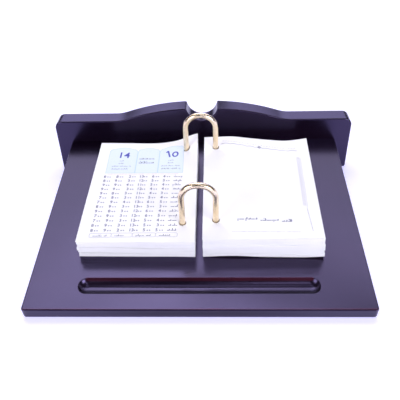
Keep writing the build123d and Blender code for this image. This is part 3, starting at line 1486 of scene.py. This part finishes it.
DRESSINGS = (
    Dressing(LACQUER, ("top_board", "back_board", "drawer_front")),
    Dressing(STAINED, ("front_rail", "bay_front_rail", "bay_rear_rail", "bay_end_rail")),
    Dressing(STAINED, ("under_panel", "drawer_stop", "left_cheek", "right_cheek")),
    Dressing(BARE, ("drawer_runners", "drawer_bottom", "drawer_inner_end")),
    Dressing(BARE, ("drawer_near_side", "drawer_far_side")),
    Dressing(BRASS, ("front_arch", "rear_arch", "front_arch_bushes", "rear_arch_bushes", "drawer_knob")),
    Dressing(STEEL, ("knob_screw", "frame_screws", "back_screws")),
    Dressing(FELT, ("front_feet", "rear_feet")),
)


# --------------------------------------------------------------------------------------------------
# Studio


SKY: Colour = (0.91, 0.90, 1.0)
LOW_SKY: Colour = (0.66, 0.62, 1.0)


@dataclass(frozen=True)
class Panel:
    """A soft light panel that faces the object, placed by where it stands in the sky.

    Attributes:
        name: its name.
        azimuth: degrees to the right of straight behind the object.
        elevation: degrees above the desk.
        half_width: half the angle it fills sideways, in degrees.
        half_height: half the angle it fills upright, in degrees.
        radiance: how bright its face is.
        colour: its light.
        distance: how far it hangs from its target, in metres.
        target: the point that it faces.
    """

    name: str
    azimuth: float
    elevation: float
    half_width: float
    half_height: float
    radiance: float
    colour: Colour = SKY
    distance: float = 1.9
    target: tuple[float, float, float] = (0.0, 0.0, 0.03)

    def hang(self) -> None:
        """Puts the panel in the scene."""
        up = radians(self.elevation)
        level = self.distance * cos(up)
        around = radians(self.azimuth)
        place = Vector((level * sin(around), level * cos(around), self.distance * sin(up)))
        data = bpy.data.lights.new(self.name, "AREA")
        data.shape = "RECTANGLE"
        data.size = 2.0 * level * tan(radians(self.half_width))
        data.size_y = 2.0 * self.distance * tan(radians(self.half_height))
        data.energy = pi * self.radiance * data.size * data.size_y
        data.color = self.colour
        lamp = bpy.data.objects.new(self.name, data)
        lamp.location = Vector(self.target) + place
        lamp.rotation_euler = place.to_track_quat("Z", "Y").to_euler()
        bpy.context.scene.collection.objects.link(lamp)


PANELS = (
    Panel("overhead_left", -32.0, 68.0, 30.0, 6.0, 4.9),
    Panel("overhead_right", 20.0, 69.0, 24.0, 5.0, 5.1),
    Panel("rear_high_left", -27.0, 56.0, 27.0, 6.0, 4.1),
    Panel("rear_high_right", 27.0, 54.5, 27.0, 4.5, 3.5),
    Panel("rear_middle_left", -26.0, 43.0, 26.0, 7.0, 2.3),
    Panel("rear_middle_right", 26.0, 43.0, 26.0, 7.0, 2.0),
    Panel("rear_low_left", -26.0, 27.0, 20.0, 8.0, 2.3, LOW_SKY),
    Panel("rear_low_right", 24.0, 27.0, 18.0, 8.0, 2.1, LOW_SKY),
    Panel("zenith", 180.0, 79.0, 50.0, 9.0, 1.4),
    Panel("front_right", 135.0, 22.0, 16.0, 14.0, 8.2),
    Panel("front_left", -135.0, 22.0, 16.0, 14.0, 5.8),
    Panel("front_high", 163.0, 50.0, 11.0, 8.0, 2.6),
)


@dataclass
class Studio:
    """A pale floor, soft panels around the object, and the camera."""

    plane: BoardPlane
    lens: float = 47.574
    offset: tuple[float, float, float] = (0.01707, -0.29427, 0.33900)
    pitch: float = radians(37.227)
    yaw: float = radians(-2.42)
    roll: float = radians(-1.841)
    sky_strength: float = 0.06
    floor_colour: Colour = (0.86, 0.86, 0.86)
    floor_glow: Colour = (0.40, 0.38, 0.80)
    glow_strength: float = 0.85

    def build(self) -> None:
        """Makes the floor, the lights, the world and the camera."""
        self.make_camera()
        self.make_floor()
        for panel in PANELS:
            panel.hang()
        world = bpy.data.worlds.new("studio")
        world.use_nodes = True
        background = world.node_tree.nodes["Background"]
        background.inputs["Color"].default_value = opaque(SKY)
        background.inputs["Strength"].default_value = self.sky_strength
        scene = bpy.context.scene
        scene.world = world
        scene.view_settings.view_transform = "Standard"
        scene.view_settings.look = "None"

    def make_camera(self) -> None:
        """Places the camera where the photograph was taken from."""
        data = bpy.data.cameras.new("camera")
        data.lens = self.lens
        data.sensor_width = 36.0
        data.clip_start = 0.01
        camera = bpy.data.objects.new("camera", data)
        turn = Matrix.Rotation(-self.yaw, 4, "Z") @ Matrix.Rotation(pi / 2 - self.pitch, 4, "X")
        turn = turn @ Matrix.Rotation(self.roll, 4, "Z")
        camera.matrix_world = Matrix.Translation(self.plane.front + Vector(self.offset)) @ turn
        bpy.context.scene.collection.objects.link(camera)
        bpy.context.scene.camera = camera

    def make_floor(self) -> None:
        """Lays the floor under the feet."""
        mesh = bmesh.new()
        bmesh.ops.create_grid(mesh, x_segments=1, y_segments=1, size=4.0)
        material = bpy.data.materials.new("floor")
        surface = Surface(material)
        surface.set(Base_Color=opaque(self.floor_colour), Roughness=0.9)
        surface.set(Emission_Color=opaque(self.floor_glow), Emission_Strength=self.glow_strength)
        data = bpy.data.meshes.new("floor")
        mesh.to_mesh(data)
        mesh.free()
        data.materials.append(material)
        floor = bpy.data.objects.new("floor", data)
        bpy.context.scene.collection.objects.link(floor)


# How far the stacks' edges rise, as (across, rise) knots in millimetres: the rear edges curl, and the
# front edges bend up off the board.
LEFT_CURL: Knots = (
    *((0.0, 12.0), (4.5, 10.6), (8.5, 8.9), (14.0, 5.9), (19.5, 3.4), (25.0, 1.7)),
    *((36.0, -0.4), (47.0, -1.2), (60.0, -1.1), (75.0, -0.5), (106.0, 0.2)),
)
RIGHT_CURL: Knots = (
    *((0.0, 3.0), (8.0, 3.3), (15.0, 3.3), (24.0, 3.7), (31.0, 3.5), (45.0, 1.4)),
    *((60.0, -0.7), (74.0, -2.4), (85.0, -3.3), (95.0, -2.4), (108.0, -0.2)),
)
LEFT_BEND: Knots = ((0.0, 0.0), (20.0, 0.3), (50.0, 0.0), (106.0, 0.0))
RIGHT_BEND: Knots = ((0.0, 0.3), (27.0, 2.1), (52.0, 1.1), (76.0, 1.0), (95.0, 1.3), (108.0, 2.6))


def left_stack(plane: BoardPlane) -> LeafStack:
    """Describes the stack of turned leaves, whose inner rear corner curls up.

    Args:
        plane: the board that it lies on.

    Returns:
        The stack, not built yet.
    """
    return LeafStack(
        Side.LEFT,
        plane,
        height=0.0205,
        width=0.1050,
        inner=0.0037,
        clumps=(9, 6, 7, 8, 6),
        rear_rise=in_metres(LEFT_CURL),
        fade=(0.086, 1.5),
        corner_rise=-0.0006,
        front_skew=(0.0009, 0.0016),
        outer_sway=(0.0042, 0.0024),
        front_rise=in_metres(LEFT_BEND),
        seed=7,
    )


def right_stack(plane: BoardPlane) -> LeafStack:
    """Describes the thicker stack of leaves to come, whose front edge bends up off the board.

    Args:
        plane: the board that it lies on.

    Returns:
        The stack, not built yet.
    """
    return LeafStack(
        Side.RIGHT,
        plane,
        height=0.0240,
        width=0.1076,
        inner=0.0034,
        clumps=(8, 7, 9, 6, 7, 8),
        rear_rise=in_metres(RIGHT_CURL),
        fade=(0.060, 1.3),
        corner_rise=0.0002,
        front_skew=(-0.0016, 0.0010),
        outer_sway=(0.0032, -0.0004),
        front_rise=in_metres(RIGHT_BEND),
        seed=8,
    )


def main() -> None:
    """Builds the object's looks in order."""
    logging.basicConfig(level=logging.INFO, format="%(message)s")
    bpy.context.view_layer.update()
    plane = BoardPlane.from_frame()
    Studio(plane).build()
    for dressing in DRESSINGS:
        dressing.apply()
    left, right = left_stack(plane), right_stack(plane)
    pieces = left.build() + right.build()
    for page in (TimesPage(left), SayingPage(right)):
        word = page.stack.side.word
        pieces.append(page.build(f"{word}_print", None))
        pieces.append(page.build(f"{word}_next_print", page.stack.body))
    for piece in pieces:
        log.info("%s has %d faces", piece.name, len(piece.data.polygons))


if __name__ == "__main__":
    main()
